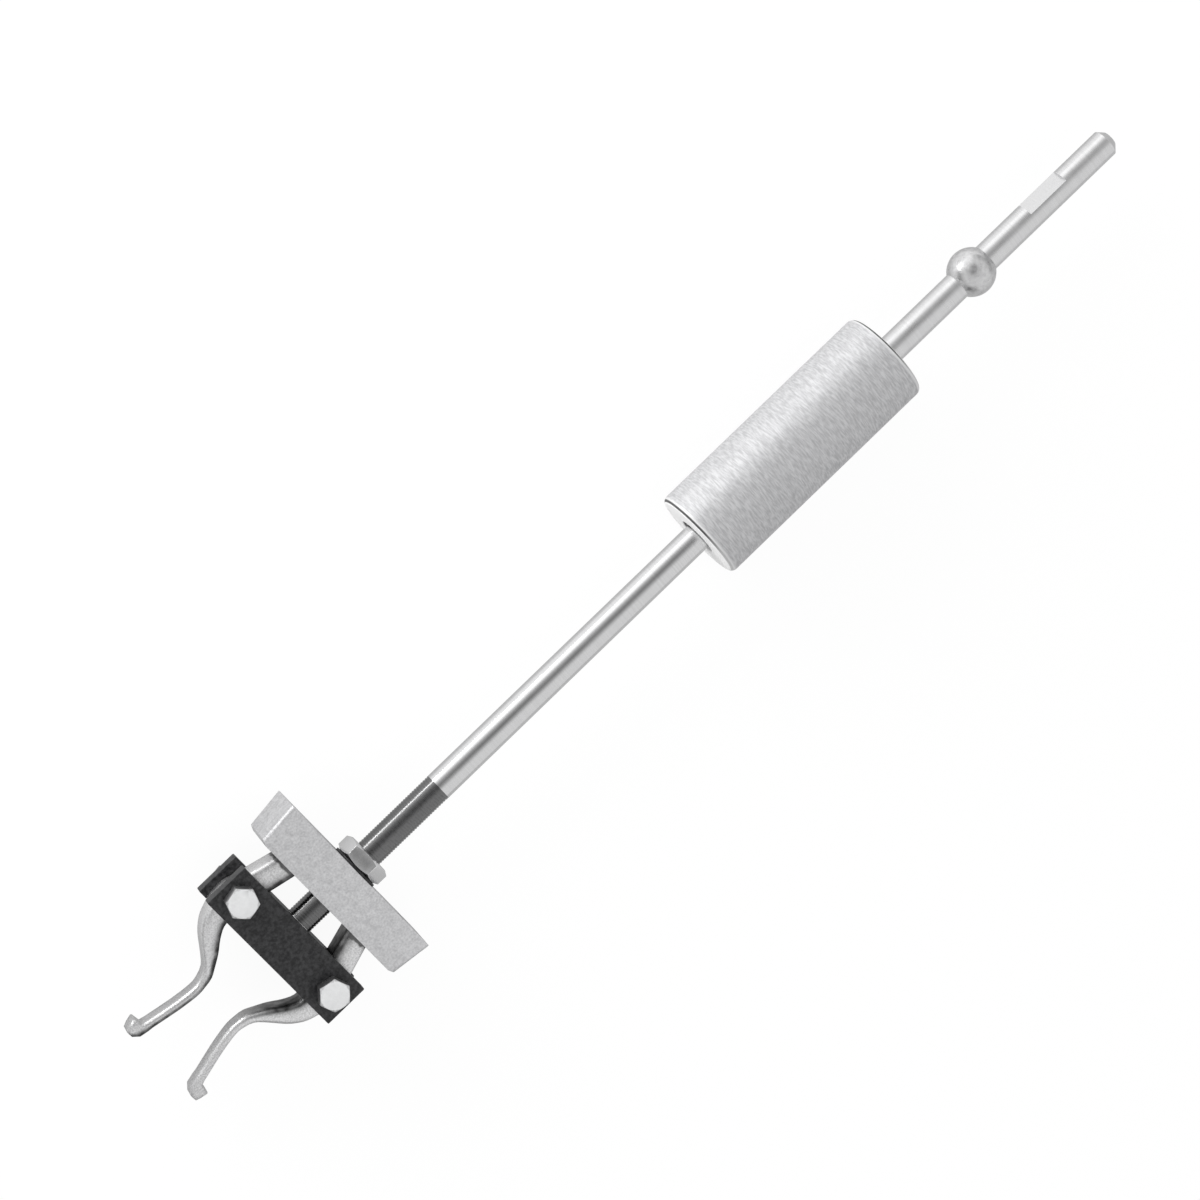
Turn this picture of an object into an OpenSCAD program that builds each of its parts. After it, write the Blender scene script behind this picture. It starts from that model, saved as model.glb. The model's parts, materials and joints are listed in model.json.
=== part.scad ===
// Pilot bearing puller: a slide hammer on a rod, and two hooked jaws that a spreader bar wedges apart.
// The rod lies along X with its free end at +X. The jaws swing in the XY plane, and the bolt heads face +Z.
// Lengths along the rod are counted from the line through the two jaw pivots.

/* [Rod] */
// Diameter of the rod
rod_d = 12.7; // [10:0.1:16]
// Length of the rod from the pivot line to its free end
rod_reach = 491.6; // [460:0.1:600]
// Length of the chamfer at the rod's free end
rod_chamfer = 2.7; // [0.5:0.1:4]
// Depth of the rod's inner end below the yoke's outer face
rod_recess = 1.2; // [0.5:0.1:4]
// Chamfer of the rod's inner end
foot_chamfer = 0.8; // [0.2:0.1:2]
// Start of the wrench flats from the pivot line
flats_start = 442.3; // [430:0.1:455]
// Length of the wrench flats
flats_len = 21.2; // [10:0.1:30]
// Width across the wrench flats
flats_w = 9.5; // [8:0.1:10]
// Turn of the wrench flats about the rod
flats_turn = 62; // [0:1:180]

/* [Stop ball] */
// Diameter of the stop ball
ball_d = 21.4; // [18:0.1:30]
// Centre of the stop ball from the pivot line
ball_at = 407.7; // [400:0.1:415]

/* [Slide hammer] */
// Diameter of the slide hammer
hammer_d = 42.7; // [36:0.1:60]
// Length of the slide hammer
hammer_len = 112.8; // [90:0.1:125]
// Start of the slide hammer from the pivot line
hammer_at = 243.5; // [200:0.1:260]
// Radius of the hammer's rounded rims
hammer_round = 2.5; // [1:0.1:8]
// Depth of the countersink at each mouth of the hammer's bore
hammer_sink = 2.6; // [0.5:0.1:4]
// Clearance round the rod in the hammer's bore
hammer_gap = 0.08; // [0.02:0.01:0.1]

/* [Yoke] */
// Length of the yoke across the rod
yoke_len = 75.5; // [72:0.1:90]
// Height of the yoke along the rod
yoke_h = 20.9; // [18:0.1:26]
// Thickness of the yoke
yoke_t = 24; // [22:0.1:30]
// Width of the jaw slots in the yoke
yoke_slot = 12.9; // [12.7:0.1:14]
// Distance of the slots' floors from the rod's axis
yoke_slot_floor = 17.5; // [12:0.1:19]
// Chamfer along the yoke's edges
yoke_chamfer = 0.3; // [0.2:0.1:2]

/* [Pivots] */
// Distance between the two jaw pivots
pivot_gap = 57.4; // [56:0.1:62]
// Diameter of the pivot bolts
bolt_d = 7.94; // [6:0.01:9]
// Length of the pivot bolts under the head
bolt_len = 33.3; // [32.5:0.05:40]
// Width across the flats of the bolt heads and nuts
bolt_hex = 12.7; // [11:0.1:14]
// Height of the bolt heads
bolt_head_h = 5.4; // [4:0.1:7]
// Height of the nuts on the pivot bolts
bolt_nut_h = 6.4; // [5:0.1:7]
// Thickness of the lock washers
lock_t = 1.6; // [1:0.1:2]
// Outer diameter of the lock washers
lock_d = 13.6; // [12:0.1:16]
// Turn of the left bolt's head
head_turn_left = 48; // [0:1:60]
// Turn of the right bolt's head
head_turn_right = 11; // [0:1:60]
// Clearance round a bolt in a jaw's eye
eye_gap = 0.06; // [0.02:0.01:0.1]

/* [Jaws] */
// Distance from the pivot to the tail's end, along the rod
tail_reach = 35.8; // [34:0.1:38]
// Distance from the pivot to the toe's bottom, along the rod
jaw_reach = 71.8; // [60:0.1:90]
// Distance by which the neck lies closer to the rod's axis than the pivot
jaw_inset = 16.65; // [14:0.05:18]
// Width of the jaw at its eye
eye_w = 13.2; // [12.4:0.1:14]
// Width of the jaw's shank
shank_w = 3.8; // [3:0.1:5]
// Thickness of the jaw at its eye
eye_t = 12.4; // [11:0.1:12.5]
// Thickness of the jaw's shank
shank_t = 9.2; // [7:0.1:11]
// Rounding along the jaw's edges
jaw_round = 2; // [0.8:0.1:2.5]
// Rounding along the toe's edges
toe_round = 0.5; // [0.2:0.1:1.2]
// Height of the toe
toe_h = 5.8; // [4:0.1:8]
// Reach of the toe's tip beyond the shank
toe_out = 4; // [2:0.1:6]
// Swing of both jaws to the same side, as they lie
jaw_sway = 2; // [0:0.1:2]

/* [Spreader bar] */
// Length of the bar across the rod, at its top
bar_len = 86.8; // [84:0.1:100]
// Height of the bar along the rod
bar_h = 19.4; // [16:0.1:22]
// Thickness of the bar at its top
bar_t = 28.6; // [26:0.1:34]
// Underside of the bar from the pivot line
bar_at = 22.9; // [22:0.1:25]
// Draft of the bar's ends
bar_end_draft = 5.8; // [1:0.1:8]
// Draft of the bar's front and back
bar_face_draft = 3; // [0:0.1:6]
// Rounding of the bar's upright edges
bar_round = 2; // [1:0.1:4]
// Length of the bevel under each end of the bar
bar_bevel_len = 3; // [1:0.1:6]
// Height of the bevel under each end of the bar
bar_bevel_h = 1.2; // [0.5:0.1:3]
// Width of the tail slots in the bar
bar_slot = 13; // [12.8:0.1:15]
// Inner end of each tail slot from the rod's axis
slot_in = 8.6; // [8.2:0.1:9.6]
// Outer end of each tail slot from the rod's axis
slot_out = 31; // [30.6:0.1:33]
// Clearance round the rod in the bar's bore
bar_gap = 0.1; // [0.02:0.01:0.1]

/* [Adjusting nut] */
// Width across the flats of the adjusting nut
nut_hex = 20.6; // [19:0.1:24]
// Height of the adjusting nut
nut_h = 7.5; // [6:0.1:12]
// Turn of the adjusting nut about the rod
nut_turn = 10; // [0:1:60]
// Thickness of the thrust washer
washer_t = 1.1; // [0.8:0.1:3]
// Outer diameter of the thrust washer
washer_d = 22; // [20:0.1:30]
// Clearance round the rod in the adjusting nut and its washer
nut_gap = 0.06; // [0.02:0.01:0.1]

/* [Hidden] */
$fn = 64;
overrun = 1;

// Share of the across-flats width that the chamfered ends of nuts and heads keep
hex_face_share = 0.94;
// Slope of the hexagons' chamfers
hex_slope = 30;
// Countersink depth of the nuts' bores as a share of the rod or bolt diameter
nut_sink_share = 0.06;
// Slit of the lock washers as a share of their thickness
lock_slit_share = 0.8;
// Inner radius of the lock washers as a share of the bolt diameter
lock_bore_share = 0.52;
// Radius that the chamfer leaves at the bolts' tips, as a share of the bolt's own
bolt_tip_share = 0.94;
// Part of a jaw section's half width that the rounding of its edges may take
edge_share = 0.65;
// Height of the discs that the spreader bar's hull joins
disc_h = 0.8;

// One row per station of the jaw, from the tail's end to the toe's bottom. The first value is the place along
// the rod, as a share of the tail's reach above the pivot and of the jaw's reach below it. Then come the
// inset, the width and the thickness: 0 is the shank's and 1 the eye's for width and thickness.
jaw_station_shares = [
    [1.00, 0.60, 0.80, 1.00],
    [0.57, 0.342, 0.86, 1.00],
    [0.22, 0.132, 0.91, 1.00],
    [0.00, 0.000, 1.00, 1.00],
    [-0.097, -0.036, 0.87, 1.00],
    [-0.176, 0.012, 0.70, 0.98],
    [-0.245, 0.155, 0.75, 0.90],
    [-0.315, 0.400, 0.72, 0.76],
    [-0.385, 0.690, 0.38, 0.48],
    [-0.443, 0.901, 0.13, 0.20],
    [-0.524, 0.994, 0.00, 0.04],
    [-0.571, 1.000, 0.00, 0.00],
    [-0.636, 0.964, 0.00, 0.00],
    [-0.719, 0.898, 0.00, 0.00],
    [-0.880, 0.738, 0.00, 0.00]];
// One row per section of the toe, from just above its hook face to its bottom: the height as a share of the
// toe's, the cut into the shank's inner side as a share of the shank's width, the reach as a share of the
// tip's, and the thickness as a share of the shank's.
toe_section_shares = [
    [1.06, 0.00, 0.00, 1.00],
    [1.00, 0.00, 0.92, 1.00],
    [0.92, 0.00, 1.00, 1.00],
    [0.40, 0.00, 0.66, 1.00],
    [0.00, 0.50, 0.30, 0.98]];
// Sections between two stations, and segments in each rounded edge
station_steps = 3;
edge_steps = 3;
// Segments in the hammer's rounded rims
rim_steps = 8;

rod_r = rod_d / 2;
ball_r = ball_d / 2;
hammer_r = hammer_d / 2;
pivot_y = pivot_gap / 2;
bolt_r = bolt_d / 2;
bar_top = bar_at + bar_h;
nut_at = bar_top + washer_t;
// Height of the rod's axis: the tool lies on the hammer and on the ends of the pivot bolts
axis_z = max(hammer_r, bolt_len - yoke_t / 2);

// Smooth value of one column of the stations between rows i and i + 1
function pick(i, c) = jaw_station_shares[min(max(i, 0), len(jaw_station_shares) - 1)][c];
function slope_at(i, c) = (pick(i + 1, c) - pick(i - 1, c)) / (pick(i + 1, 0) - pick(i - 1, 0));
function smooth(i, f, c) =
    let (span = pick(i + 1, 0) - pick(i, 0))
    (2 * pow(f, 3) - 3 * pow(f, 2) + 1) * pick(i, c) + (pow(f, 3) - 2 * pow(f, 2) + f) * span * slope_at(i, c)
    + (3 * pow(f, 2) - 2 * pow(f, 3)) * pick(i + 1, c) + (pow(f, 3) - pow(f, 2)) * span * slope_at(i + 1, c);

// Place along the rod, inset from the pivot, half width and half thickness at one section of the jaw
function section(i, f) =
    let (share = pick(i, 0) + f * (pick(i + 1, 0) - pick(i, 0)))
    [share * (share > 0 ? tail_reach : jaw_reach),
     -smooth(i, f, 1) * jaw_inset,
     (shank_w + (eye_w - shank_w) * smooth(i, f, 2)) / 2,
     (shank_t + (eye_t - shank_t) * smooth(i, f, 3)) / 2];
jaw_sections = [
    for (i = [0 : len(jaw_station_shares) - 2]) for (k = [0 : station_steps - 1]) section(i, k / station_steps),
    section(len(jaw_station_shares) - 2, 1)];

// The shank's middle at a place below its last station, and the toe's sections about it
function shank_y(at) =
    let (i = len(jaw_station_shares) - 1)
    -jaw_inset * (pick(i, 1) + (at / jaw_reach - pick(i, 0))
        * (pick(i, 1) - pick(i - 1, 1)) / (pick(i, 0) - pick(i - 1, 0)));
toe_sections = [
    for (row = toe_section_shares)
        let (at = toe_h * row[0] - jaw_reach,
            inner = shank_y(at) - shank_w / 2 + shank_w * row[1],
            outer = shank_y(at) + shank_w / 2 + toe_out * row[2])
        [at, (inner + outer) / 2, (outer - inner) / 2, shank_t / 2 * row[3]]];

// Points of a rounded rectangle in the plane across the rod, about a section's centre
function rounded(s, r) = [
    for (q = [0 : 3]) for (k = [0 : edge_steps])
        let (turn = 90 * q + 90 * k / edge_steps, sy = q == 0 || q == 3 ? 1 : -1, sz = q < 2 ? 1 : -1)
        [s[0], s[1] + sy * (s[2] - r) + r * cos(turn), sz * (s[3] - r) + r * sin(turn)]];
function round_off(sections, r) =
    [for (s = sections) rounded(s, min(r, s[2] * edge_share, s[3] * edge_share))];

rings = concat(round_off(jaw_sections, jaw_round), round_off(toe_sections, toe_round));

// Lowest place that the toes reach along the rod, with both jaws swung
function swung_x(p, swing) = p[0] * cos(swing) - p[1] * sin(swing);
lowest_x = min([for (side = [-1, 1]) for (p = rings[len(rings) - 1]) swung_x(p, side * jaw_sway)]);
mid_x = (rod_reach + lowest_x) / 2;

module along(at) {
    translate([at - mid_x, 0, axis_z])
        rotate([0, 90, 0])
            children();
}

module at_pivot(side) {
    translate([-mid_x, side * pivot_y, axis_z])
        children();
}

// Hexagonal prism with chamfered corners at its top, and at its bottom too where both is true
module hexagon(across, height, both) {
    corner_r = across / sqrt(3);
    face_r = across / 2 * hex_face_share;
    drop = (corner_r - face_r) * tan(hex_slope);
    intersection() {
        cylinder(r = corner_r, h = height, $fn = 6);
        rotate_extrude()
            polygon([[0, 0], [both ? face_r : corner_r, 0], [corner_r, both ? drop : 0],
                [corner_r, height - drop], [face_r, height], [0, height]]);
    }
}

// Bore with a countersink at each end
module sunk_bore(r, length, sink) {
    translate([0, 0, -overrun])
        cylinder(r = r, h = length + 2 * overrun);
    translate([0, 0, -overrun])
        cylinder(r1 = r + sink + overrun, r2 = r, h = sink + overrun);
    translate([0, 0, length - sink])
        cylinder(r1 = r, r2 = r + sink + overrun, h = sink + overrun);
}

module draw_rod() {
    foot = yoke_h / 2 - rod_recess;
    length = rod_reach + foot;
    color("gainsboro")
        difference() {
            along(-foot)
                rotate_extrude()
                    polygon([[0, 0], [rod_r - foot_chamfer, 0], [rod_r, foot_chamfer],
                        [rod_r, length - rod_chamfer], [rod_r - rod_chamfer, length], [0, length]]);
            along(flats_start)
                rotate([0, 0, -flats_turn])
                    for (side = [0, 180])
                        rotate([0, 0, side])
                            translate([flats_w / 2, -rod_r, 0])
                                cube([rod_r, rod_d, flats_len]);
        }
}

module stop_ball() {
    color("gainsboro")
        along(ball_at)
            difference() {
                sphere(r = ball_r);
                translate([0, 0, -ball_r])
                    cylinder(r = rod_r, h = ball_d);
            }
}

module slide_hammer() {
    rim = [for (k = [0 : rim_steps]) 90 * k / rim_steps];
    inner = hammer_r - hammer_round;
    color("silver")
        along(hammer_at)
            difference() {
                rotate_extrude($fn = 128)
                    polygon(concat([[0, 0]],
                        [for (t = rim) [inner + hammer_round * sin(t), hammer_round * (1 - cos(t))]],
                        [for (t = rim) [inner + hammer_round * cos(t),
                            hammer_len - hammer_round * (1 - sin(t))]],
                        [[0, hammer_len]]));
                sunk_bore(rod_r + hammer_gap, hammer_len, hammer_sink);
            }
}

module adjusting_nut() {
    color("gainsboro")
        along(nut_at)
            difference() {
                rotate([0, 0, nut_turn])
                    hexagon(nut_hex, nut_h, true);
                sunk_bore(rod_r + nut_gap, nut_h, rod_d * nut_sink_share);
            }
}

module thrust_washer() {
    color("dimgray")
        along(bar_top)
            difference() {
                cylinder(r = washer_d / 2, h = washer_t);
                translate([0, 0, -overrun])
                    cylinder(r = rod_r + nut_gap, h = washer_t + 2 * overrun);
            }
}

module spreader_bar() {
    half_y = bar_len / 2 - bar_round;
    half_z = bar_t / 2 - bar_round;
    draw_y = bar_h * tan(bar_end_draft);
    draw_z = bar_h * tan(bar_face_draft);
    color("lightgray")
        difference() {
            intersection() {
                hull()
                    for (sy = [-1, 1])
                        for (sz = [-1, 1]) {
                            along(bar_top - disc_h)
                                translate([sz * half_z, sy * half_y, 0])
                                    cylinder(r = bar_round, h = disc_h, $fn = 32);
                            along(bar_at)
                                translate([sz * (half_z - draw_z), sy * (half_y - draw_y), 0])
                                    cylinder(r = bar_round, h = disc_h, $fn = 32);
                        }
                bar_bevels(bar_len / 2 - draw_y);
            }
            along(bar_at)
                translate([0, 0, -overrun])
                    cylinder(r = rod_r + bar_gap, h = bar_h + 2 * overrun);
            for (side = [-1, 1])
                translate([bar_at - overrun - mid_x, side * (slot_in + slot_out) / 2, axis_z])
                    translate([0, (slot_in - slot_out) / 2, -bar_slot / 2])
                        cube([bar_h + 2 * overrun, slot_out - slot_in, bar_slot]);
        }
}

// Outline of the bar seen from the front, with a bevel under each end
module bar_bevels(half) {
    translate([bar_at - mid_x, 0, axis_z - bar_t])
        linear_extrude(2 * bar_t)
            polygon([[0, bar_bevel_len - half], [0, half - bar_bevel_len], [bar_bevel_h, half],
                [bar_bevel_h, bar_len], [bar_h, bar_len], [bar_h, -bar_len], [bar_bevel_h, -bar_len],
                [bar_bevel_h, -half]]);
}

module yoke() {
    half_y = yoke_len / 2;
    half_x = yoke_h / 2;
    c = yoke_chamfer;
    color("black")
        difference() {
            translate([-mid_x, 0, axis_z - yoke_t / 2])
                linear_extrude(yoke_t)
                    polygon([[-half_x, c - half_y], [c - half_x, -half_y], [half_x - c, -half_y],
                        [half_x, c - half_y], [half_x, half_y - c], [half_x - c, half_y],
                        [c - half_x, half_y], [-half_x, half_y - c]]);
            along(-half_x - overrun)
                cylinder(r = rod_r, h = yoke_h + 2 * overrun);
            for (side = [-1, 1]) {
                at_pivot(side)
                    translate([0, 0, -yoke_t / 2 - overrun])
                        cylinder(r = bolt_r, h = yoke_t + 2 * overrun);
                translate([-half_x - overrun - mid_x, side > 0 ? yoke_slot_floor : -half_y - overrun,
                    axis_z - yoke_slot / 2])
                    cube([yoke_h + 2 * overrun, half_y + overrun - yoke_slot_floor, yoke_slot]);
            }
        }
}

// Forged jaw, lofted through rounded sections: tail, eye, gooseneck, shank and hooked toe
module jaw() {
    count = 4 * (edge_steps + 1);
    sides = [for (i = [0 : len(rings) - 2]) for (k = [0 : count - 1])
        let (a = i * count + k, b = i * count + (k + 1) % count)
        each [[a, a + count, b + count], [a, b + count, b]]];
    caps = [[for (k = [0 : count - 1]) k], [for (k = [0 : count - 1]) len(rings) * count - 1 - k]];
    difference() {
        polyhedron([for (r = rings) each r], concat(sides, caps), convexity = 6);
        translate([0, 0, -eye_t])
            cylinder(r = bolt_r + eye_gap, h = 2 * eye_t);
    }
}

module jaw_left() {
    color("whitesmoke")
        at_pivot(1)
            rotate([0, 0, jaw_sway])
                jaw();
}

module jaw_right() {
    color("whitesmoke")
        at_pivot(-1)
            rotate([0, 0, jaw_sway])
                mirror([0, 1, 0])
                    jaw();
}

module pivot_bolt(side, turn) {
    color("gainsboro")
        at_pivot(side) {
            translate([0, 0, yoke_t / 2 - bolt_len])
                rotate_extrude()
                    polygon([[0, 0], [bolt_r * bolt_tip_share, 0], [bolt_r, bolt_r * (1 - bolt_tip_share)],
                        [bolt_r, bolt_len], [0, bolt_len]]);
            translate([0, 0, yoke_t / 2])
                rotate([0, 0, -turn])
                    hexagon(bolt_hex, bolt_head_h, false);
        }
}

module pivot_bolt_left() {
    pivot_bolt(1, head_turn_left);
}

module pivot_bolt_right() {
    pivot_bolt(-1, head_turn_right);
}

module lock_washer(side) {
    slit = lock_t * lock_slit_share;
    color("silver")
        at_pivot(side)
            translate([0, 0, -yoke_t / 2 - lock_t])
                difference() {
                    cylinder(r = lock_d / 2, h = lock_t);
                    translate([0, 0, -overrun])
                        cylinder(r = bolt_d * lock_bore_share, h = lock_t + 2 * overrun);
                    translate([0, -slit / 2, -overrun])
                        cube([lock_d, slit, lock_t + 2 * overrun]);
                }
}

module lock_washer_left() {
    lock_washer(1);
}

module lock_washer_right() {
    lock_washer(-1);
}

module pivot_nut(side, turn) {
    color("silver")
        at_pivot(side)
            translate([0, 0, -yoke_t / 2 - lock_t - bolt_nut_h])
                difference() {
                    rotate([0, 0, turn])
                        hexagon(bolt_hex, bolt_nut_h, true);
                    sunk_bore(bolt_r, bolt_nut_h, bolt_d * nut_sink_share);
                }
}

module pivot_nut_left() {
    pivot_nut(1, head_turn_right);
}

module pivot_nut_right() {
    pivot_nut(-1, head_turn_left);
}

draw_rod();
stop_ball();
slide_hammer();
adjusting_nut();
thrust_washer();
spreader_bar();
yoke();
jaw_left();
jaw_right();
pivot_bolt_left();
pivot_bolt_right();
lock_washer_left();
lock_washer_right();
pivot_nut_left();
pivot_nut_right();
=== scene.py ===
import json
import math

import bmesh
import bpy
from mathutils import Matrix, Vector

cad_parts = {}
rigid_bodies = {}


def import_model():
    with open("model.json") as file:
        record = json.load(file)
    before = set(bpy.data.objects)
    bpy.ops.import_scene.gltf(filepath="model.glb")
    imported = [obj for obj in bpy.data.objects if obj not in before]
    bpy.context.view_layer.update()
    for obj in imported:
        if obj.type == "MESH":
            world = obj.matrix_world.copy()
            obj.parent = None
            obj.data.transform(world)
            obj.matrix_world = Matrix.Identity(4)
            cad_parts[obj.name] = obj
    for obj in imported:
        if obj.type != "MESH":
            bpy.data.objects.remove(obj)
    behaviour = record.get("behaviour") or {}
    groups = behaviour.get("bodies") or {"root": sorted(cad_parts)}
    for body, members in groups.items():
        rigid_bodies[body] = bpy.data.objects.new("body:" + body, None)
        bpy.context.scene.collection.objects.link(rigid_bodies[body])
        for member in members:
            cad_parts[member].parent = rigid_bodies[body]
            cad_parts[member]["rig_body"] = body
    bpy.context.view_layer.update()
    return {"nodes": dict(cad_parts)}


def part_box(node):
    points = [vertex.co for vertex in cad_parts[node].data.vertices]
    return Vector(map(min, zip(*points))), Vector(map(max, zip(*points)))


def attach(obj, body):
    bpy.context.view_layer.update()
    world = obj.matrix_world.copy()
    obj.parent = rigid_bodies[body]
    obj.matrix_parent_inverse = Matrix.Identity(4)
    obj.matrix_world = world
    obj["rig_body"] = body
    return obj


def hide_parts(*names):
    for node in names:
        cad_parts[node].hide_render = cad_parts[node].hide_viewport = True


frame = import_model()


# The draw rod is half-inch steel, ground and polished, and it is screwed into the yoke. A right-hand
# thread for the adjusting nut is rolled on its lower part, where oil stands in the grooves, and two
# wrench flats are milled near its free end.
yoke_low, yoke_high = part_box("yoke")
pivot_x = (yoke_low.x + yoke_high.x) / 2
rod_low, rod_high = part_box("draw_rod")
axis_z = (rod_low.z + rod_high.z) / 2
rod_r = (rod_high.z - rod_low.z) / 2
low_chamfer, free_chamfer = 0.0008, 0.0027
thread_start, thread_end = pivot_x + 0.0106, pivot_x + 0.0912
thread_pitch, thread_depth, thread_run_out = 0.00127, 0.00022, 0.0012
flat_start, flat_end, flat_half = pivot_x + 0.4423, pivot_x + 0.4635, 0.00475
flat_turn = math.radians(62)
handled_from, handled_to = pivot_x + 0.30, pivot_x + 0.36


def give(tree, node, inputs):
    """Sets a node's inputs, each to a value or to another node's socket."""
    for key, value in inputs.items():
        if isinstance(value, bpy.types.NodeSocket):
            tree.links.new(value, node.inputs[key])
        else:
            node.inputs[key].default_value = value


def add(tree, kind, inputs=None, **settings):
    """A new node with its settings and inputs."""
    made = tree.nodes.new(kind)
    for key, value in settings.items():
        setattr(made, key, value)
    give(tree, made, inputs or {})
    return made


def reckon(tree, operation, *values):
    """A value reckoned from others, where each is a number or a socket."""
    return add(tree, "ShaderNodeMath", dict(enumerate(values)), operation=operation).outputs[0]


def reckon_vector(tree, operation, *values):
    """A vector reckoned from others."""
    return add(tree, "ShaderNodeVectorMath", dict(enumerate(values)), operation=operation).outputs[0]


def new_finish(name):
    """A new material with its tree and its shader."""
    material = bpy.data.materials.new(name)
    material.use_nodes = True
    return material, material.node_tree, material.node_tree.nodes["Principled BSDF"]


def noise(tree, vector, detail=3.0, roughness=0.5):
    """Noise with one wave to each unit of the vector."""
    inputs = {"Vector": vector, "Scale": 1.0, "Detail": detail, "Roughness": roughness}
    return add(tree, "ShaderNodeTexNoise", inputs).outputs["Fac"]


def pattern(tree, along, across=None, detail=3.0, roughness=0.5):
    """Noise with so many waves to the metre along the rod, and across it where that differs."""
    across = across or along
    coords = add(tree, "ShaderNodeTexCoord").outputs["Object"]
    scaled = add(tree, "ShaderNodeMapping", {"Vector": coords, "Scale": (along, across, across)}).outputs[0]
    return noise(tree, scaled, detail, roughness)


def spread(tree, value, low, high, start=0.3, end=0.7):
    """A value that goes from start to end, as most noise does, brought to the range from low to high."""
    inputs = {"Value": value, "From Min": start, "From Max": end, "To Min": low, "To Max": high}
    return add(tree, "ShaderNodeMapRange", inputs).outputs["Result"]


def ramp(tree, value, start=0.0, end=1.0, low=0.0, high=1.0):
    """A smooth change from low to high while a value goes from start to end."""
    inputs = {"Value": value, "From Min": start, "From Max": end, "To Min": low, "To Max": high}
    return add(tree, "ShaderNodeMapRange", inputs, interpolation_type="SMOOTHSTEP").outputs["Result"]


def relief(tree, height, depth, below=None):
    """A bump of a depth in metres, on top of another one."""
    inputs = {"Height": height, "Distance": depth, "Strength": 1.0}
    if below is not None:
        inputs["Normal"] = below
    return add(tree, "ShaderNodeBump", inputs).outputs["Normal"]


def mixed(tree, share, first, second):
    """Two values, mixed by a share from 0 to 1."""
    return add(tree, "ShaderNodeMix", {0: share, 2: first, 3: second}).outputs[0]


def two_tones(tree, share, first, second):
    """Two colours, mixed by a share from 0 to 1."""
    inputs = {0: share}
    for socket, tone in ((6, first), (7, second)):
        inputs[socket] = tone if isinstance(tone, bpy.types.NodeSocket) else (*tone, 1.0)
    return add(tree, "ShaderNodeMix", inputs, data_type="RGBA").outputs[2]


def round_axis(tree):
    """A point's place from the rod's axis: along it, above it, how far out, and which way out."""
    coords = add(tree, "ShaderNodeTexCoord").outputs["Object"]
    centred = add(tree, "ShaderNodeMapping", {"Vector": coords, "Location": (0.0, 0.0, -axis_z)})
    along, left, above = add(tree, "ShaderNodeSeparateXYZ", {0: centred.outputs[0]}).outputs
    way = add(tree, "ShaderNodeCombineXYZ", {"Y": left, "Z": above}).outputs[0]
    out = add(tree, "ShaderNodeVectorMath", {0: way}, operation="LENGTH").outputs["Value"]
    return {"along": along, "above": above, "out": out, "way": way}


# The polish is ground in fine rings and smeared by hand, and it is duller where the hammer and hands rub.
polish, tree, shader = new_finish("polished_rod")
axis = round_axis(tree)
rings = add(tree, "ShaderNodeCombineXYZ", {"X": axis["along"], "Y": axis["out"], "Z": axis["above"]})
ring_waves = (2600.0, 2600.0, 40.0)
grinding = noise(tree, reckon_vector(tree, "MULTIPLY", rings.outputs[0], ring_waves))
smears = pattern(tree, 90.0, 300.0, detail=4.0)
handled = spread(tree, axis["along"], 0.0, 1.0, handled_from, handled_to)
give(tree, shader, {
    "Base Color": two_tones(tree, spread(tree, grinding, 0.0, 1.0), (0.68, 0.68, 0.685), (0.74, 0.74, 0.745)),
    "Metallic": 1.0,
    "Roughness": mixed(tree, handled, spread(tree, smears, 0.13, 0.22), spread(tree, smears, 0.24, 0.36)),
    "Normal": relief(tree, grinding, 0.000004)})

# The oil fills the thread's grooves, so that its own surface is nearly round and shines in one line.
oiled, tree, shader = new_finish("oiled_thread")
axis = round_axis(tree)
film = pattern(tree, 700.0)
oil = two_tones(tree, spread(tree, film, 0.0, 1.0), (0.01, 0.01, 0.011), (0.06, 0.06, 0.062))
crest_from, crest_to = rod_r - 0.00012, rod_r - 0.00001
crest = spread(tree, axis["out"], 0.0, 1.0, crest_from, crest_to)
give(tree, shader, {
    "Base Color": two_tones(tree, crest, oil, (0.05, 0.05, 0.052)), "Metallic": 1.0, "Roughness": 0.18,
    "Coat Weight": 1.0, "Coat Roughness": 0.22, "Coat IOR": 2.15,
    "Coat Normal": reckon_vector(tree, "NORMALIZE", axis["way"])})

rings_per_pitch, sides_round, rod_crease, rod_weld = 10, 64, 25, 1e-7
rod_outline = [(rod_low.x, 0.0), (rod_low.x, rod_r - low_chamfer), (rod_low.x + low_chamfer, rod_r)]
thread_length = thread_end - thread_start
thread_rings = round(thread_length / thread_pitch * rings_per_pitch)
rod_outline += [(thread_start + thread_length * i / thread_rings, rod_r) for i in range(thread_rings + 1)]
rod_outline += [(flat_start, rod_r), (flat_start, rod_r), (flat_end, rod_r), (flat_end, rod_r)]
flat_rings = (len(rod_outline) - 3, len(rod_outline) - 2)
rod_outline += [(rod_high.x - free_chamfer, rod_r), (rod_high.x, rod_r - free_chamfer), (rod_high.x, 0.0)]
flat_ways = [math.pi / 2 - flat_turn, math.pi * 1.5 - flat_turn]
edge_angle = math.acos(flat_half / rod_r)
rod_angles = [math.tau * i / sides_round for i in range(sides_round)]
rod_angles += [way + side * edge_angle for way in flat_ways for side in (-1, 1)]
rod_angles = sorted({round(angle % math.tau, 6) for angle in rod_angles})


def mill_flats(ring, y, z):
    """A point of the rod, brought down to the nearer of the two wrench flats."""
    if ring not in flat_rings:
        return y, z
    way = Vector((math.cos(flat_ways[0]), math.sin(flat_ways[0])))
    point = Vector((y, z))
    height = point.dot(way)
    point -= way * (height - max(-flat_half, min(flat_half, height)))
    return point.x, point.y


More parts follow.
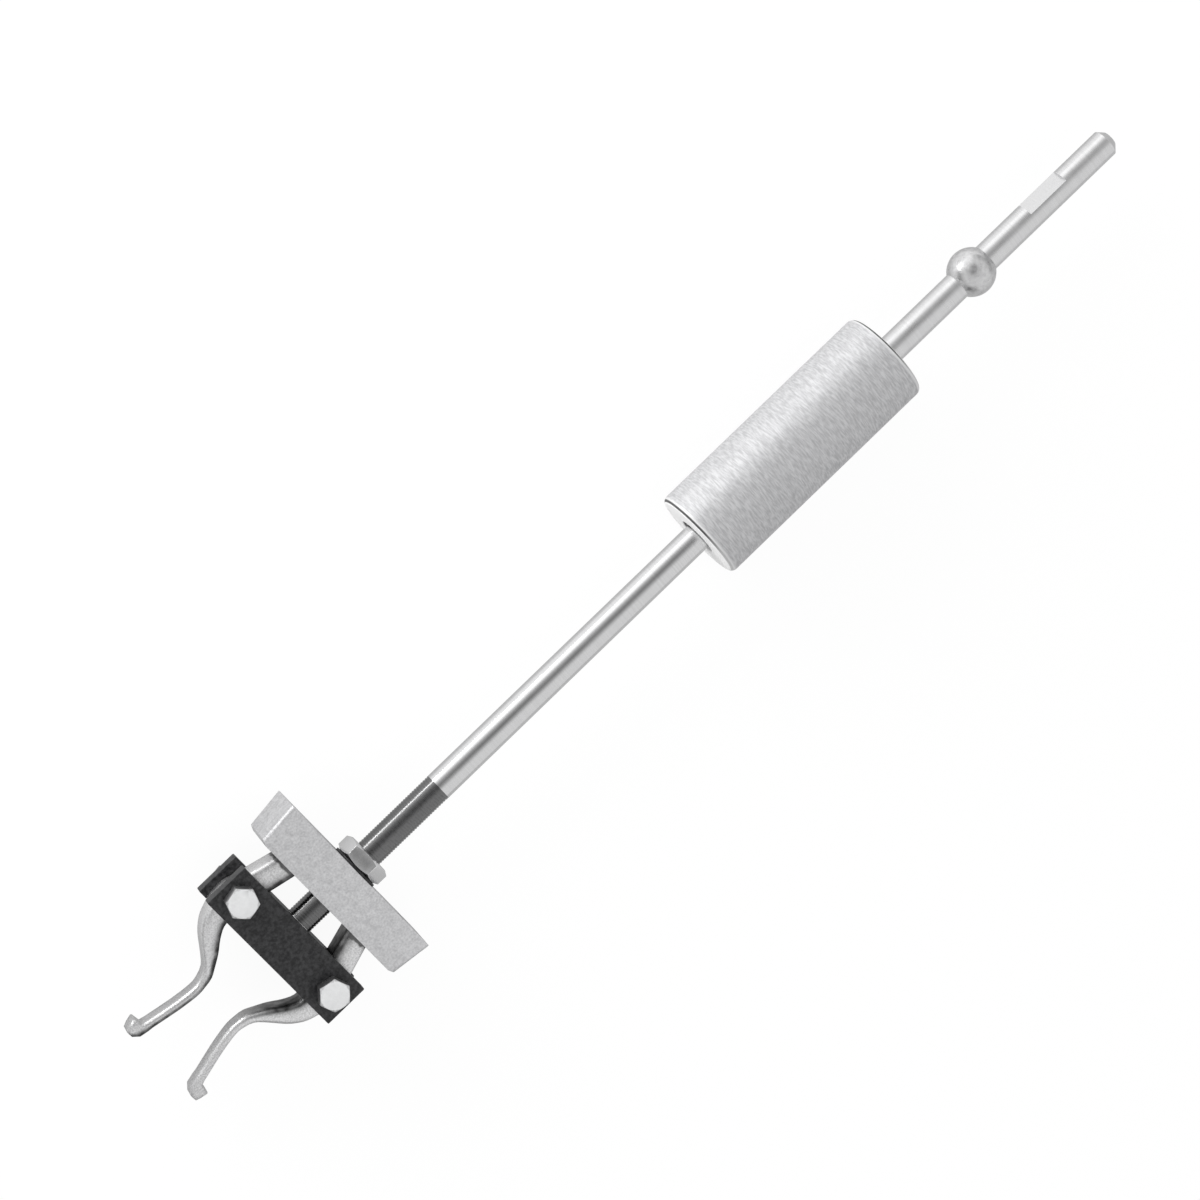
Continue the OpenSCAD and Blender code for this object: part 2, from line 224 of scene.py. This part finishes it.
def turned_rod():
    """The rod's mesh, turned from its outline about its axis, with the flats milled and both ends closed."""
    bm = bmesh.new()
    rings = []
    for i, (x, r) in enumerate(rod_outline):
        if r == 0.0:
            rings.append([bm.verts.new((x, 0.0, axis_z))] * len(rod_angles))
            continue
        ring = []
        for angle in rod_angles:
            y, z = mill_flats(i, r * math.cos(angle), r * math.sin(angle))
            ring.append(bm.verts.new((x, y, axis_z + z)))
        rings.append(ring)
    for low, high in zip(rings, rings[1:]):
        for k in range(len(rod_angles)):
            n = (k + 1) % len(rod_angles)
            corners = []
            for vertex in (low[k], low[n], high[n], high[k]):
                if vertex not in corners:
                    corners.append(vertex)
            bm.faces.new(corners)
    bmesh.ops.remove_doubles(bm, verts=bm.verts, dist=rod_weld)
    bmesh.ops.recalc_face_normals(bm, faces=bm.faces)
    mesh = bpy.data.meshes.new("turned_rod")
    bm.to_mesh(mesh)
    bm.free()
    return mesh


def piece_from(mesh, name, material, sharp_angle):
    """An object of its own from a mesh, smooth apart from its true edges."""
    mesh.name = name
    mesh.shade_smooth()
    mesh.set_sharp_from_angle(angle=math.radians(sharp_angle))
    mesh.materials.clear()
    mesh.materials.append(material)
    made = bpy.data.objects.new(name, mesh)
    bpy.context.scene.collection.objects.link(made)
    return made


def settled(rough):
    """The name and the plain mesh that an object's modifiers give; the object itself goes."""
    bpy.context.view_layer.update()
    mesh = bpy.data.meshes.new_from_object(rough.evaluated_get(bpy.context.evaluated_depsgraph_get()))
    name, start = rough.name, rough.data
    bpy.data.objects.remove(rough)
    bpy.data.meshes.remove(start)
    mesh.name = name
    return name, mesh


# The thread is rolled by this tree, which presses a groove into a turned piece along a helix.
cutter = bpy.data.node_groups.new("roll_thread", "GeometryNodeTree")
for label, kind in [("Geometry", "Geometry"), ("Start", "Float"), ("End", "Float"), ("Pitch", "Float"),
                    ("Depth", "Float"), ("Run Out", "Float"), ("Axis Height", "Float"),
                    ("Material", "Material")]:
    cutter.interface.new_socket(label, in_out="INPUT", socket_type="NodeSocket" + kind)
cutter.interface.new_socket("Geometry", in_out="OUTPUT", socket_type="NodeSocketGeometry")
given = cutter.nodes.new("NodeGroupInput").outputs

point = cutter.nodes.new("GeometryNodeInputPosition").outputs[0]
along, left, up = add(cutter, "ShaderNodeSeparateXYZ", {0: point}).outputs
above = reckon(cutter, "SUBTRACT", up, given["Axis Height"])
turns = reckon(cutter, "DIVIDE", reckon(cutter, "ARCTAN2", above, left), math.tau)
pitches = reckon(cutter, "DIVIDE", along, given["Pitch"])
phase = reckon(cutter, "FRACT", reckon(cutter, "SUBTRACT", pitches, turns))
from_crest = reckon(cutter, "SUBTRACT", reckon(cutter, "MULTIPLY", phase, 2.0), 1.0)
crest_edge, groove_floor = 0.22, 0.88
groove = ramp(cutter, reckon(cutter, "ABSOLUTE", from_crest), crest_edge, groove_floor)
past_start = reckon(cutter, "SUBTRACT", along, given["Start"])
before_end = reckon(cutter, "SUBTRACT", given["End"], along)
run_in = ramp(cutter, reckon(cutter, "DIVIDE", past_start, given["Run Out"]))
run_out = ramp(cutter, reckon(cutter, "DIVIDE", before_end, given["Run Out"]))
full_cut = reckon(cutter, "MULTIPLY", groove, given["Depth"])
cut = reckon(cutter, "MULTIPLY", full_cut, reckon(cutter, "MULTIPLY", run_in, run_out))
outwards = add(cutter, "ShaderNodeCombineXYZ", {"Y": left, "Z": above}).outputs[0]
inwards = {0: reckon_vector(cutter, "NORMALIZE", outwards), "Scale": reckon(cutter, "MULTIPLY", cut, -1.0)}
inwards = add(cutter, "ShaderNodeVectorMath", inwards, operation="SCALE").outputs[0]
pressed = add(cutter, "GeometryNodeSetPosition", {"Geometry": given["Geometry"], "Offset": inwards})
whole = add(cutter, "GeometryNodeRealizeInstances", {"Geometry": pressed.outputs[0]})
is_past = add(cutter, "FunctionNodeCompare", {0: along, 1: given["Start"]}, operation="GREATER_THAN")
is_before = add(cutter, "FunctionNodeCompare", {0: along, 1: given["End"]}, operation="LESS_THAN")
threaded = add(cutter, "FunctionNodeBooleanMath", {0: is_past.outputs[0], 1: is_before.outputs[0]},
               operation="AND")
dressed = add(cutter, "GeometryNodeSetMaterial", {
    "Geometry": whole.outputs[0], "Selection": threaded.outputs[0], "Material": given["Material"]})
cutter.links.new(dressed.outputs[0], cutter.nodes.new("NodeGroupOutput").inputs[0])
sockets = {item.name: item.identifier for item in cutter.interface.items_tree if item.in_out == "INPUT"}

rod_blank = piece_from(turned_rod(), "draw_rod_threaded", polish, rod_crease)
roll = rod_blank.modifiers.new("roll_thread", "NODES")
roll.node_group = cutter
for label, value in [("Start", thread_start), ("End", thread_end), ("Pitch", thread_pitch),
                     ("Depth", thread_depth), ("Run Out", thread_run_out), ("Axis Height", axis_z),
                     ("Material", oiled)]:
    roll[sockets[label]] = value
name, mesh = settled(rod_blank)
draw_rod = bpy.data.objects.new(name, mesh)
bpy.context.scene.collection.objects.link(draw_rod)
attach(draw_rod, "frame")
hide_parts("draw_rod")


# The yoke is a sawn and milled steel block with a slot at each end for a jaw. It is blackened in a hot
# oxide bath, which leaves it faintly clouded, and its corners are broken by hand.
yoke_edge = 0.0005
true_edge, flat_within, weld = 30, 0.4, 2e-6


def soft_edged(node, name, material, edge, segments, sharp_angle=true_edge):
    """A copy of a CAD node with its true edges broken, which stands for the node."""
    mesh = frame["nodes"][node].data.copy()
    if "custom_normal" in mesh.attributes:
        mesh.attributes.remove(mesh.attributes["custom_normal"])
    bm = bmesh.new()
    bm.from_mesh(mesh)
    bmesh.ops.remove_doubles(bm, verts=bm.verts, dist=weld)
    bmesh.ops.dissolve_limit(bm, angle_limit=math.radians(flat_within), verts=bm.verts, edges=bm.edges)
    bmesh.ops.recalc_face_normals(bm, faces=bm.faces)
    bm.to_mesh(mesh)
    bm.free()
    rough = piece_from(mesh, name, material, true_edge)
    if edge:
        bevel = rough.modifiers.new("broken_edges", "BEVEL")
        bevel.width, bevel.segments = edge, segments
        bevel.limit_method, bevel.angle_limit = "ANGLE", math.radians(true_edge)
        bevel.harden_normals = False
        bevel.use_clamp_overlap = True
    name, mesh = settled(rough)
    made = piece_from(mesh, name, material, sharp_angle)
    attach(made, frame["nodes"][node]["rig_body"])
    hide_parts(node)
    return made


black, tree, shader = new_finish("black_oxide")
cloud = pattern(tree, 620.0, detail=5.0, roughness=0.65)
pits = pattern(tree, 2600.0)
clouded = spread(tree, cloud, 0.0, 1.0, 0.38, 0.64)
give(tree, shader, {
    "Base Color": two_tones(tree, clouded, (0.004, 0.004, 0.005), (0.040, 0.040, 0.042)), "Metallic": 0.0,
    "Roughness": spread(tree, cloud, 0.36, 0.52), "Specular IOR Level": 0.42,
    "Normal": relief(tree, pits, 0.000018)})
yoke = soft_edged("yoke", "yoke_block", black, yoke_edge, 3)


# The two jaws are drop forged: a tail above the pivot eye, a gooseneck below it, and a thin shank with a
# hooked toe. They are tumbled and plated bright. Painted shade darkens the flanks that face inwards, and a
# painted shadow of the spreader bar lies across the tails just below it.
neck_top, neck_end = pivot_x - 0.022, pivot_x - 0.036
dull_from, dull_to = pivot_x - 0.040, pivot_x - 0.050
bar_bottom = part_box("spreader_bar")[0].x
bar_shadow_from, bar_shadow_to, bar_shadow_waves = bar_bottom - 0.0022, bar_bottom - 0.0012, 0.0012
bar_shadow_share, inner_shade_share, inner_shade_full = 0.85, 0.95, 0.22
edge_radius, jaw_crease = 0.0030, 50


def place_on(tree):
    """A point's place on the tool: X along the rod, Y to the left and Z up."""
    coords = add(tree, "ShaderNodeTexCoord").outputs["Object"]
    return add(tree, "ShaderNodeSeparateXYZ", {0: coords}).outputs


forging, tree, shader = new_finish("bright_forging")
waves = pattern(tree, 210.0, detail=1.0)
grain = pattern(tree, 1500.0, detail=4.0)
speckled = spread(tree, grain, 0.0, 1.0, 0.36, 0.64)
plated = two_tones(tree, speckled, (0.62, 0.62, 0.625), (0.86, 0.86, 0.865))
place = place_on(tree)
# A painted shadow of the spreader bar: a dark band with a wavy edge on the tails just below the bar's bottom.
wavy_place = reckon(tree, "ADD", place["X"], spread(tree, waves, -bar_shadow_waves, bar_shadow_waves))
bar_shadow = spread(tree, wavy_place, 0.0, bar_shadow_share, bar_shadow_from, bar_shadow_to)
rounded = add(tree, "ShaderNodeBevel", {"Radius": edge_radius}, samples=12).outputs["Normal"]
leftward = add(tree, "ShaderNodeSeparateXYZ", {0: rounded}).outputs["Y"]
jaw_side = reckon(tree, "SIGN", place["Y"])
inward = reckon(tree, "MULTIPLY", reckon(tree, "MULTIPLY", leftward, jaw_side), -1.0)
on_right = spread(tree, jaw_side, 1.0, 0.0, -1.0, 1.0)
past_neck = spread(tree, place["X"], 1.0, 0.0, neck_end, neck_top)
clean_shank = reckon(tree, "MULTIPLY", on_right, past_neck)
# Painted shade on the flanks whose rounded normals face inwards, left off the right jaw's shank past the
# neck.
inner_shade = reckon(tree, "MULTIPLY", spread(tree, inward, 0.0, inner_shade_share, 0.0, inner_shade_full),
                     reckon(tree, "SUBTRACT", 1.0, clean_shank))
inner_shade = reckon(tree, "MULTIPLY", inner_shade, spread(tree, waves, 0.7, 1.1))
dark = reckon(tree, "MAXIMUM", bar_shadow, inner_shade)
near_toe = spread(tree, place["X"], 1.0, 0.0, dull_to, dull_from)
dull_shank = reckon(tree, "MULTIPLY", on_right, near_toe)
give(tree, shader, {
    "Base Color": two_tones(tree, dark, plated, (0.06, 0.06, 0.06)), "Metallic": 1.0,
    "Roughness": mixed(tree, dull_shank, spread(tree, waves, 0.30, 0.40), 0.62),
    "Normal": relief(tree, grain, 0.000004, below=relief(tree, waves, 0.00012, below=rounded))})
for side in ("left", "right"):
    jaw = soft_edged("jaw_" + side, "jaw_forging_" + side, forging, None, None, sharp_angle=jaw_crease)


# Each jaw turns on a hexagon bolt of 5/16 inch, which goes through both ears of the yoke. A split lock
# washer and a nut hold it at the back. All are zinc plated, with painted light that makes their tops pale
# and painted shade that makes their flanks dark.
fastener_edge = 0.0002
zinc, tree, shader = new_finish("zinc_plate")
bloom = pattern(tree, 420.0, detail=5.0, roughness=0.65)
fine = pattern(tree, 3500.0, detail=2.0)
plate = two_tones(tree, spread(tree, bloom, 0.0, 1.0), (0.86, 0.865, 0.87), (0.95, 0.955, 0.96))
normal = add(tree, "ShaderNodeTexCoord").outputs["Normal"]
upward = add(tree, "ShaderNodeSeparateXYZ", {0: normal}).outputs["Z"]
# Painted light and shade: faces that point up get the pale plate, the flanks a dark painted shade.
painted_light_on_top = spread(tree, upward, 0.0, 1.0, 0.75, 0.95)
give(tree, shader, {
    "Base Color": two_tones(tree, painted_light_on_top, (0.30, 0.30, 0.305), plate),
    "Metallic": mixed(tree, painted_light_on_top, 1.0, 0.6),
    "Roughness": spread(tree, bloom, 0.44, 0.54),
    "Normal": relief(tree, fine, 0.000006)})
for side in ("left", "right"):
    for node in ("pivot_bolt_", "lock_washer_", "pivot_nut_"):
        fastener = soft_edged(node + side, node + side + "_zinc", zinc, fastener_edge, 2)


# The spreader bar is an iron casting with drafted sides and a slot at each end for a jaw's tail. It is
# bead blasted and plated, which leaves a fine even matt.
bar_edge = 0.0004
casting, tree, shader = new_finish("blasted_casting")
skin = pattern(tree, 260.0, detail=5.0, roughness=0.65)
beads = pattern(tree, 1100.0)
grit = spread(tree, mixed(tree, 0.5, beads, skin), 0.0, 1.0, 0.36, 0.64)
give(tree, shader, {
    "Base Color": two_tones(tree, grit, (0.58, 0.58, 0.59), (0.82, 0.82, 0.83)), "Metallic": 1.0,
    "Roughness": spread(tree, skin, 0.46, 0.58),
    "Normal": relief(tree, beads, 0.00005, below=relief(tree, skin, 0.00030))})
bar = soft_edged("spreader_bar", "spreader_casting", casting, bar_edge, 2)


# A thin hardened washer lies on the bar, and the hexagon nut on the rod's thread presses on it. The
# washer is blackened like the yoke. The nut is zinc plated and rubbed bright by the wrench.
washer_edge, nut_edge = 0.00015, 0.00035
washer = soft_edged("thrust_washer", "thrust_washer_black", black, washer_edge, 2)
bright, tree, shader = new_finish("bright_zinc")
wear = pattern(tree, 500.0, detail=4.0)
give(tree, shader, {
    "Base Color": (0.90, 0.90, 0.905, 1.0), "Metallic": 1.0, "Roughness": spread(tree, wear, 0.11, 0.2),
    "Normal": relief(tree, wear, 0.00004)})
nut = soft_edged("adjusting_nut", "adjusting_nut_zinc", bright, nut_edge, 3)


# The slide hammer is turned from 43 mm bar, drilled for the rod and rounded at its rims. The fine marks
# of turning run round it under a satin plating. Its faced ends are painted near white as a painted
# reflection, its rims carry a painted highlight, and a painted dark reflection runs along the rims,
# darkest on the left.
hammer_low, hammer_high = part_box("slide_hammer")
hammer_middle, hammer_half = (hammer_low.x + hammer_high.x) / 2, (hammer_high.x - hammer_low.x) / 2
rim_full, rim_end = 0.0014, 0.0024
line_full, line_end, line_turns = 0.0009, 0.0013, 0.006
face_full, face_end = 0.0002, 0.0004
satin, tree, shader = new_finish("turned_steel")
lines = pattern(tree, 1400.0, 240.0, roughness=0.6)
bands = pattern(tree, 260.0, 120.0)
plating = two_tones(tree, spread(tree, lines, 0.0, 1.0, 0.36, 0.64), (0.45, 0.45, 0.46), (0.63, 0.63, 0.64))
place = place_on(tree)
from_middle = reckon(tree, "ABSOLUTE", reckon(tree, "SUBTRACT", place["X"], hammer_middle))
from_end = reckon(tree, "SUBTRACT", hammer_half, from_middle)
# Painted highlight along the rims, and inside it a painted dark reflection line, darker on the left.
rim_painted_highlight = spread(tree, from_end, 1.0, 0.0, rim_full, rim_end)
rim_painted_dark_line = reckon(tree, "MULTIPLY", spread(tree, from_end, 1.0, 0.0, line_full, line_end),
                   spread(tree, place["Y"], 0.25, 1.0, -line_turns, line_turns))
# The end faces are painted near white and not metallic, a painted reflection of the floor.
end_painted_white = spread(tree, from_end, 1.0, 0.0, face_full, face_end)
tone = two_tones(tree, rim_painted_highlight, plating, (0.82, 0.82, 0.825))
tone = two_tones(tree, rim_painted_dark_line, tone, (0.10, 0.10, 0.10))
give(tree, shader, {
    "Base Color": two_tones(tree, end_painted_white, tone, (0.98, 0.98, 0.98)),
    "Metallic": mixed(tree, end_painted_white, 0.5, 0.0),
    "Roughness": spread(tree, bands, 0.44, 0.56),
    "Normal": relief(tree, lines, 0.00007)})
hammer = frame["nodes"]["slide_hammer"]
hammer.data.materials.clear()
hammer.data.materials.append(satin)


# The stop ball has a bore and is pressed onto the rod, and the hammer strikes it. It is polished like the
# rod, but the blows and the grease have dulled it.
ball_steel, tree, shader = new_finish("satin_ball")
ball_wear = pattern(tree, 600.0, detail=4.0)
worn = spread(tree, ball_wear, 0.0, 1.0)
give(tree, shader, {
    "Base Color": two_tones(tree, worn, (0.58, 0.58, 0.585), (0.74, 0.74, 0.745)), "Metallic": 1.0,
    "Roughness": spread(tree, ball_wear, 0.26, 0.38),
    "Normal": relief(tree, ball_wear, 0.00008)})
ball = frame["nodes"]["stop_ball"]
ball.data.materials.clear()
ball.data.materials.append(ball_steel)


# The tool lies on a pale floor in a white tent. The bright metal mirrors the tent's opening as a dark
# stripe down its middle, the brighter wall on the left jaw's side, a dark gap low down past each end of
# the tool, and the floor, whose glow as the metal mirrors it carries painted shade to the right of the rod
# and under the head.
scene = bpy.context.scene
scene.view_settings.view_transform = "Standard"
lean = math.radians(20)
to_camera = Vector((0.0, math.sin(lean), math.cos(lean)))
to_left = Vector((0.0, math.cos(lean), -math.sin(lean)))
past_jaws, past_free_end, upwards = (-1.0, 0.0, 0.0), (1.0, 0.0, 0.0), (0.0, 0.0, 1.0)
opening_side, opening_reach = math.radians(1), math.radians(45)
opening_way = (to_camera * math.cos(opening_side) + to_left * math.sin(opening_side)).normalized()
wall_level, left_wall_more, opening_level = 0.83, 0.60, 0.26
left_wall_from, left_wall_to = 0.45, 0.76
jaws_gap_from, jaws_gap_to, jaws_gap_dark = 0.25, 0.55, 0.95
end_gap_from, end_gap_to, end_gap_dark = 0.55, 0.85, 0.6
gap_top_from, gap_top_to = 0.10, 0.50
floor_seen, floor_mirrored, floor_white = 0.90, 0.85, 1.03
shade_right, shade_left = 0.008, 0.060
floor_in_shade, floor_in_light, head_shade = 0.60, 1.12, 0.72
head_end, head_past = pivot_x + 0.04, pivot_x + 0.12


def facing(tree, way):
    """The cosine of the angle between a ray into the tent and one way."""
    ray = add(tree, "ShaderNodeTexCoord").outputs["Generated"]
    dot = add(tree, "ShaderNodeVectorMath", {0: ray, 1: tuple(way)}, operation="DOT_PRODUCT")
    return dot.outputs["Value"]


tent = bpy.data.worlds.new("tent")
scene.world = tent
tent.use_nodes = True
tree = tent.node_tree
path = add(tree, "ShaderNodeLightPath").outputs
left_wall = ramp(tree, facing(tree, to_left), left_wall_from, left_wall_to, 0.0, left_wall_more)
wall = reckon(tree, "ADD", left_wall, wall_level)
from_opening = reckon(tree, "ARCCOSINE", facing(tree, opening_way))
lit = reckon(tree, "MULTIPLY", wall, ramp(tree, from_opening, 0.0, opening_reach, opening_level, 1.0))
at_jaws = ramp(tree, facing(tree, past_jaws), jaws_gap_from, jaws_gap_to, 0.0, jaws_gap_dark)
at_free_end = ramp(tree, facing(tree, past_free_end), end_gap_from, end_gap_to, 0.0, end_gap_dark)
low_down = ramp(tree, facing(tree, upwards), gap_top_from, gap_top_to, 1.0, 0.0)
gap = reckon(tree, "MULTIPLY", reckon(tree, "MAXIMUM", at_jaws, at_free_end), low_down)
gap = reckon(tree, "MULTIPLY", gap, path["Is Glossy Ray"])
lit = reckon(tree, "MULTIPLY", lit, reckon(tree, "SUBTRACT", 1.0, gap))
give(tree, tree.nodes["Background"], {
    "Color": (1.0, 1.0, 1.0, 1.0), "Strength": mixed(tree, path["Is Camera Ray"], lit, 1.0)})

floor_half = 3
floor_corners = [(x * floor_half, y * floor_half, 0) for x, y in ((-1, -1), (1, -1), (1, 1), (-1, 1))]
floor_mesh = bpy.data.meshes.new("floor")
floor_mesh.from_pydata(floor_corners, [], [(0, 1, 2, 3)])
floor = bpy.data.objects.new("floor", floor_mesh)
scene.collection.objects.link(floor)
paper, tree, shader = new_finish("paper")
give(tree, shader, {
    "Base Color": (0.86, 0.86, 0.86, 1.0), "Metallic": 0.0, "Roughness": 0.9, "Specular IOR Level": 0.1})
path = add(tree, "ShaderNodeLightPath").outputs
seen = reckon(tree, "MAXIMUM", path["Is Camera Ray"], path["Is Transmission Ray"])
seen = reckon(tree, "MULTIPLY", seen, floor_seen)
seen = reckon(tree, "MAXIMUM", seen, reckon(tree, "MULTIPLY", path["Is Glossy Ray"], floor_mirrored))
place = place_on(tree)
# Painted shade in the floor's glow for mirrored rays: darker to the right of the rod and under the head.
mirrored_painted_shade = ramp(tree, place["Y"], shade_right, shade_left, floor_in_shade, floor_in_light)
head_painted_shade = ramp(tree, place["X"], head_end, head_past, head_shade, 1.0)
mirrored_painted_shade = reckon(tree, "MULTIPLY", mirrored_painted_shade, head_painted_shade)
white = add(tree, "ShaderNodeEmission", {
    "Color": (1.0, 1.0, 1.0, 1.0), "Strength": mixed(tree, path["Is Glossy Ray"], floor_white, mirrored_painted_shade)})
paper_seen = add(tree, "ShaderNodeMixShader", {0: seen, 1: shader.outputs[0], 2: white.outputs[0]})
give(tree, tree.nodes["Material Output"], {"Surface": paper_seen.outputs[0]})
floor_mesh.materials.append(paper)


def lamp_at(name, place, width, height, watts, aim_height=0.02):
    """A soft rectangular lamp on the left, which looks straight across at the rod."""
    lamp = bpy.data.lights.new(name, "AREA")
    lamp.shape, lamp.size, lamp.size_y, lamp.energy = "RECTANGLE", width, height, watts
    made = bpy.data.objects.new(name, lamp)
    made.location = place
    aim = Vector((place[0], 0.0, aim_height)) - made.location
    made.rotation_euler = aim.to_track_quat("-Z", "Y").to_euler()
    scene.collection.objects.link(made)
    return made


softbox = lamp_at("left_softbox", (0.0, 1.02, 0.26), width=0.9, height=0.5, watts=7.5)
softbox.visible_glossy = False
lamp_at("strip_light", (-0.28, 0.98, 0.15), width=0.5, height=0.14, watts=2.0)


# The camera looks almost straight down, 20 degrees over to the left jaw's side, and is turned so that
# the rod runs to the upper right of the picture.
stand_back, picture_width, sensor = 1.44, 0.5043, 36.0
square_over, middle = pivot_x + 0.070, Vector((pivot_x + 0.1947, 0.0099, axis_z))
rod_right, rod_up = 0.7198, 0.6942
lens = bpy.data.cameras.new("camera")
lens.sensor_width, lens.lens = sensor, sensor * stand_back / picture_width
lens.clip_start, lens.clip_end = 0.05, 20.0
camera = bpy.data.objects.new("camera", lens)
scene.collection.objects.link(camera)
stand = Vector((square_over, middle.y, middle.z)) + to_camera * stand_back
back = (stand - middle).normalized()
rod_way = (Vector((1.0, 0.0, 0.0)) - back * back.x).normalized()
over = rod_way.cross(back)
right = rod_way * rod_right + over * rod_up
up_way = rod_way * rod_up - over * rod_right
camera.matrix_world = Matrix.Translation(stand) @ Matrix((right, up_way, back)).transposed().to_4x4()
scene.camera = camera
